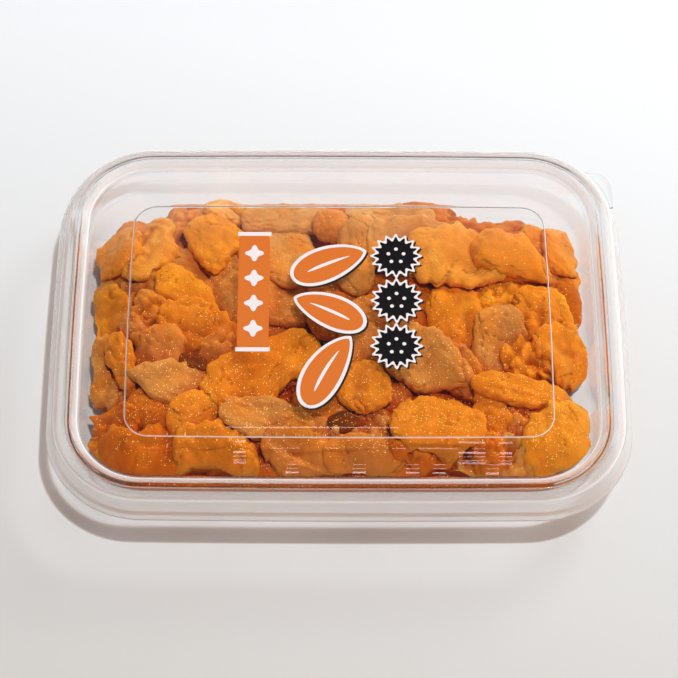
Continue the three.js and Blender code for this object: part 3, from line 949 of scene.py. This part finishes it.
# %% Shapes of plates
def leaf_plate(x, y, length, width, heading, bend, low, high, grow):
    """Ribbon x s along a bent line, half width s^0.5 (1-s)^0.7, its flat top from low to high."""
    s = np.linspace(0.002, 0.998, 48)[:, None]
    long, half = length + 2 * grow, width / 2 + grow
    turn = np.radians(bend) * (s - 0.5) + 1e-6
    radius = long / (np.radians(bend) + 2e-6)
    across = half * hump(s, 0.5, 0.7) * np.array([1, 1, 0.97, -0.97, -1, -1, -0.97, 0.97])
    level = np.where(np.arange(8) % 7 < 1, low, np.where(np.arange(8) < 5, high, low)) * np.ones_like(s)
    along = radius * np.sin(turn) - across * np.sin(turn)
    side = radius * (1 - np.cos(turn)) + across * np.cos(turn)
    c, q = np.cos(np.radians(heading)), np.sin(np.radians(heading))
    return closed_tube(np.stack([x + c * along - q * side, y + q * along + c * side, level], -1)[:, ::-1])

def plate(x, y, out_x, out_y, low, high):
    """Closed plate about a place: its edge line shrunk in rings, three at its top and three below."""
    rings = [np.stack([x + share * out_x, y + share * out_y, np.full_like(out_x, level)], -1)
             for share, level in zip((0.5, 0.987, 1, 1, 0.987, 0.5), (high,) * 3 + (low,) * 3)]
    return closed_tube(np.stack(rings))

def disc_plate(x, y, radius, spikes, depth, low, high, grow):
    """Disc whose edge waves: r = radius + grow + depth |cos(spikes t / 2)|^3, from low to high."""
    t = np.linspace(0, 2 * np.pi, 16 * spikes, endpoint=False)
    edge = radius + grow + depth * np.abs(np.cos(spikes * t / 2)) ** 3
    return plate(x, y, edge * np.cos(t), edge * np.sin(t), low, high)

def bar_plate(x0, x1, y0, y1, low, high):
    """Rectangle with slightly rounded corners, its flat top at high."""
    t = np.linspace(0, 2 * np.pi, 96, endpoint=False)
    edge = (np.abs(np.cos(t)) ** 24 + np.abs(np.sin(t)) ** 24) ** (-1 / 24)
    return plate((x0 + x1) / 2, (y0 + y1) / 2, (x1 - x0) / 2 * edge * np.cos(t),
                 (y1 - y0) / 2 * edge * np.sin(t), low, high)

print("a leaf of 20 x 9 mm has", len(leaf_plate(0, 0, 20, 9, 0, 10, 0, 0.01, 0)[0]), "points")

# %% [markdown]
# Three leaves and three spiky discs stand in a row each, beside a strip with lozenges. The
# same lists serve every layer: the outline is the shape grown, and the shadow is the outline
# moved.

# %% Leaves and discs
# One leaf per line: place, length, width, heading and bend. Each has a furrow down its middle.
leaves = [(-2.9, 16.6, 19.6, 9.0, 24, -14), (-2.4, 2.2, 18.8, 8.4, 154, 14),
          (-3.6, -15.4, 22.0, 8.8, 62, -22)]
furrows = [(x, y, 0.62 * length, 0.9, heading, bend * 0.7) for x, y, length, _, heading, bend in leaves]
# One disc per line: place, radius, spikes and their length, with five dots in its middle.
discs = [(14.9, 18.9, 4.6, 16, 1.3), (14.9, 5.3, 4.6, 16, 1.3), (14.7, -8.3, 4.6, 16, 1.3)]
dots = [(x + 2.1 * np.cos(t), y + 2.1 * np.sin(t), 0.5, 4, 0.0) for x, y, *_ in discs
        for t in np.pi / 2 + 2 * np.pi / 5 * np.arange(5)]
ink_base = panel_top + 0.005
outline_width, shade_shift = 0.95, 0.45

def layer(low, high, grow, shift, chosen_leaves=True, chosen_discs=True):
    """All leaves and discs of one layer, each a hair above the one before so that no tops coincide."""
    bodies = []
    for n, (x, y, *form) in enumerate(leaves * chosen_leaves):
        bodies.append(leaf_plate(x + shift, y - shift, *form, low, high + 0.001 * n, grow))
    for n, (x, y, *form) in enumerate(discs * chosen_discs):
        bodies.append(disc_plate(x + shift, y - shift, *form, low, high + 0.001 * n, grow))
    return bodies

print("printed shapes:", len(leaves), "leaves,", len(discs), "discs,", len(dots), "dots")

# %% [markdown]
# The strip carries four lozenges and a bar beyond each end. With it the four layers are
# complete, and each becomes one piece with its own ink.

# %% Strip and inks
strip = (-26.4, -18.2, -8.8, 25.0)    # mm: left, right, front, back
lozenges = [disc_plate(-22.3, y, 1.5, 4, 1.0, ink_base + 0.04, ink_base + 0.05, 0)
            for y in (19.6, 12.0, 4.4, -3.2)]
ends = [bar_plate(strip[0] - 0.3, strip[1] + 0.3, y - 0.6, y + 0.6, ink_base + 0.01, ink_base + 0.04)
        for y in (strip[2] - 0.6, strip[3] + 0.6)]
marks = ([leaf_plate(*furrow, ink_base + 0.052, ink_base + 0.06, 0) for furrow in furrows]
         + [disc_plate(*dot, ink_base + 0.052, ink_base + 0.06, 0) for dot in dots])
print_layers = {
    "print_shadow": (layer(ink_base, ink_base + 0.01, outline_width, shade_shift), (0.03, 0.018, 0.012)),
    "print_white": (layer(ink_base + 0.02, ink_base + 0.03, outline_width, 0) + ends + lozenges + marks,
                    (0.86, 0.78, 0.78)),
    "print_orange": (layer(ink_base + 0.045, ink_base + 0.05, 0, 0, True, False)
                     + [bar_plate(*strip, ink_base + 0.01, ink_base + 0.03)], (0.70, 0.17, 0.025)),
    "print_black": (layer(ink_base + 0.045, ink_base + 0.05, 0, 0, False, True), (0.006, 0.005, 0.006))}

ink_lets_through = 0.75    # share of a lamp's light

for name, (bodies, ink) in print_layers.items():
    piece = make_piece(name, *joined(bodies))
    material, add = new_material(name + "_ink")
    paint = add("ShaderNodeBsdfPrincipled", {"Base Color": (*ink, 1), "Roughness": 0.5,
                                             "Specular IOR Level": 0.1})
    is_shadow = add("ShaderNodeLightPath").outputs["Is Shadow Ray"]
    thin = add("ShaderNodeMath", {0: is_shadow, 1: ink_lets_through}, operation="MULTIPLY").outputs[0]
    gap = add("ShaderNodeBsdfTransparent").outputs[0]
    seen = add("ShaderNodeMixShader", {0: thin, 1: paint.outputs[0], 2: gap}).outputs[0]
    add("ShaderNodeOutputMaterial", {"Surface": seen})
    piece.data.materials.append(material)

# %% [markdown]
# The pack stands on a pale table, painted darker towards the front and left as painted
# shade, under a small round lamp, with a soft window behind on the right. The room is
# bright round the sides and dimmer overhead, which leaves the near half of the lid clear
# and lays a pale haze on its far half. A narrow tube lamp and a few short bright slats,
# high up behind, draw the fine glints on the lid. The window lights the pack without being
# mirrored, or it would hide the roe from some sides.

# %% Table
# painted shade: the table's paint is darker towards the front and left
near_paint_shaded, far_paint_lit = (0.66, 0.632, 0.605, 1), (0.895, 0.915, 0.935, 1)

def table():
    """Flat square of table, level with the tray's underside, grey-white, painted darker towards the front
    and left as painted shade.
    """
    half = 3000.0
    corners = np.array([[-half, -half, 0], [half, -half, 0], [half, half, 0], [-half, half, 0]])
    mesh = bpy.data.meshes.new("table")
    mesh.from_pydata((corners * MM).tolist(), [], [(0, 1, 2, 3)])
    floor = bpy.data.objects.new("table", mesh)
    bpy.context.scene.collection.objects.link(floor)
    material, add = new_material("pale_table_painted_shade")
    place = add("ShaderNodeTexCoord").outputs["Object"]
    # painted shade: the paint darkens towards the front and left
    slide = add("ShaderNodeVectorMath", {0: place, 1: (0.4, 3.0, 0)},
                operation="DOT_PRODUCT").outputs["Value"]
    share = add("ShaderNodeMapRange", {0: slide, 1: -0.3, 2: 0.3}).outputs[0]
    paint = add("ShaderNodeMix", {0: share, 6: near_paint_shaded, 7: far_paint_lit}, data_type="RGBA").outputs[2]
    body = add("ShaderNodeBsdfPrincipled", {"Base Color": paint, "Roughness": 0.6})
    add("ShaderNodeOutputMaterial", {"Surface": body.outputs[0]})
    mesh.materials.append(material)
    print("table:", 2 * half * MM, "m wide")

table()

# %% Lamps
def lamp(name, shape, place, size, power, mirrored=True, target=(0, 0, 0)):
    """Lamp that faces its target; place and size in metres, power in watts, mirrored by gloss or not."""
    light = bpy.data.lights.new(name, "AREA")
    light.shape, light.size, light.energy = shape, size, power
    holder = bpy.data.objects.new(name, light)
    holder.location = place
    holder.rotation_euler = (Vector(target) - Vector(place)).to_track_quat("-Z", "Y").to_euler()
    holder.visible_glossy = holder.visible_transmission = mirrored
    bpy.context.scene.collection.objects.link(holder)

lamp("overhead_lamp", "DISK", (0.31, -0.06, 1.55), 0.05, 15)
lamp("window_light", "SQUARE", (0.85, 0.95, 0.95), 0.6, 11, mirrored=False)

# %% [markdown]
# The room is a graph of nodes too, on the direction of a ray: x and y level, z upwards. On
# the level lid a narrow stretch of directions fills the whole near view, so a step in z
# tells the far half of the lid from its near half.

# %% Room nodes
world = bpy.data.worlds.new("room")
bpy.context.scene.world = world
world.use_nodes = True
room_tree = world.node_tree
room_tree.nodes.clear()

room_maths = maths_in(room_tree)

def step(source, start, end):
    """0 before start, 1 past end, smooth between."""
    node = room_tree.nodes.new("ShaderNodeMapRange")
    node.interpolation_type = "SMOOTHSTEP"
    room_tree.links.new(source, node.inputs[0])
    node.inputs[1].default_value, node.inputs[2].default_value = start, end
    return node.outputs[0]

def between(source, low, high):
    """1 from low to high, 0 elsewhere."""
    return room_maths("MULTIPLY", room_maths("GREATER_THAN", source, low),
                      room_maths("LESS_THAN", source, high))

print("world:", world.name)

# %% [markdown]
# First comes the soft part of the room, which changes slowly with direction. The pack's
# sides see its bright low ring, and the lid mirrors the dim overhead and the patch.

# %% Soft room
def soft_room(x, y, z):
    """Bright low round the sides, dim overhead, one bright patch behind, 40 to 60 degrees up."""
    overhead, beside = step(z, 0.822, 0.853), step(room_maths("ABSOLUTE", x), 0.12, 0.2)
    patch = room_maths("MULTIPLY", room_maths("MULTIPLY", step(y, 0.25, 0.35), step(z, 0.60, 0.70)),
                       room_maths("SUBTRACT", 1.0, beside))
    low = room_maths("SUBTRACT", 1.0, step(z, 0.35, 0.60))
    sides = room_maths("ADD", room_maths("MULTIPLY", patch, 1.4),
                       room_maths("MULTIPLY_ADD", low, 0.60, 0.08))
    return room_maths("MULTIPLY", sides, room_maths("MULTIPLY_ADD", overhead, -0.95, 1.0))

ray, ray_parts = room_tree.nodes.new("ShaderNodeTexCoord"), room_tree.nodes.new("ShaderNodeSeparateXYZ")
room_tree.links.new(ray.outputs["Generated"], ray_parts.inputs[0])
soft = soft_room(*ray_parts.outputs)
print("room nodes so far:", len(room_tree.nodes))

# %% [markdown]
# The tube and the slats are flat lights high up, so their places are given as distances
# across and back for each unit of height. The slats lie in rows of three, and a random
# number for each cell of the ceiling decides which stacks are lit.

# %% Tube and slats
slat_gap = 0.0022         # from slat to slat, for each unit of height
slat_share = 0.2          # lit share of a gap
cell_width = 0.0065
strip_light = 5.0         # how bright the tube and the slats are
room_colour = (0.98, 0.985, 0.99, 1)

def slat_stacks(across, back):
    """Slats where back / gap has a small remainder, kept in the cells whose random number is high."""
    slats = room_maths("LESS_THAN", room_maths("FRACT", room_maths("DIVIDE", back, slat_gap)), slat_share)
    cell = room_tree.nodes.new("ShaderNodeCombineXYZ")
    dice = room_tree.nodes.new("ShaderNodeTexWhiteNoise")
    column = room_maths("FLOOR", room_maths("DIVIDE", across, cell_width))
    row = room_maths("FLOOR", room_maths("DIVIDE", back, 3 * slat_gap))
    room_tree.links.new(column, cell.inputs[0])
    room_tree.links.new(row, cell.inputs[1])
    room_tree.links.new(cell.outputs[0], dice.inputs["Vector"])
    return room_maths("MULTIPLY", slats, room_maths("GREATER_THAN", dice.outputs["Value"], 0.7))

x, y, z = ray_parts.outputs
across, back = room_maths("DIVIDE", x, z), room_maths("DIVIDE", y, z)
tube = room_maths("MULTIPLY", between(back, 0.5195, 0.5202), between(across, -0.049, 0.036))
zone = room_maths("MULTIPLY", between(back, 0.492, 0.5095), between(across, -0.045, 0.095))
strips = room_maths("MAXIMUM", tube, room_maths("MULTIPLY", slat_stacks(across, back), zone))
upwards = room_maths("MULTIPLY", room_maths("GREATER_THAN", z, 0.1), strip_light)
glow = room_tree.nodes.new("ShaderNodeBackground")
glow.inputs[0].default_value = room_colour
room_tree.links.new(room_maths("MULTIPLY_ADD", strips, upwards, soft), glow.inputs[1])
room_tree.links.new(glow.outputs[0], room_tree.nodes.new("ShaderNodeOutputWorld").inputs[0])

scene = bpy.context.scene
scene.view_settings.view_transform = "Standard"
scene.cycles.transparent_max_bounces = 40
scene.cycles.max_bounces = 24
scene.cycles.transmission_bounces = 24
print("room nodes:", len(room_tree.nodes))
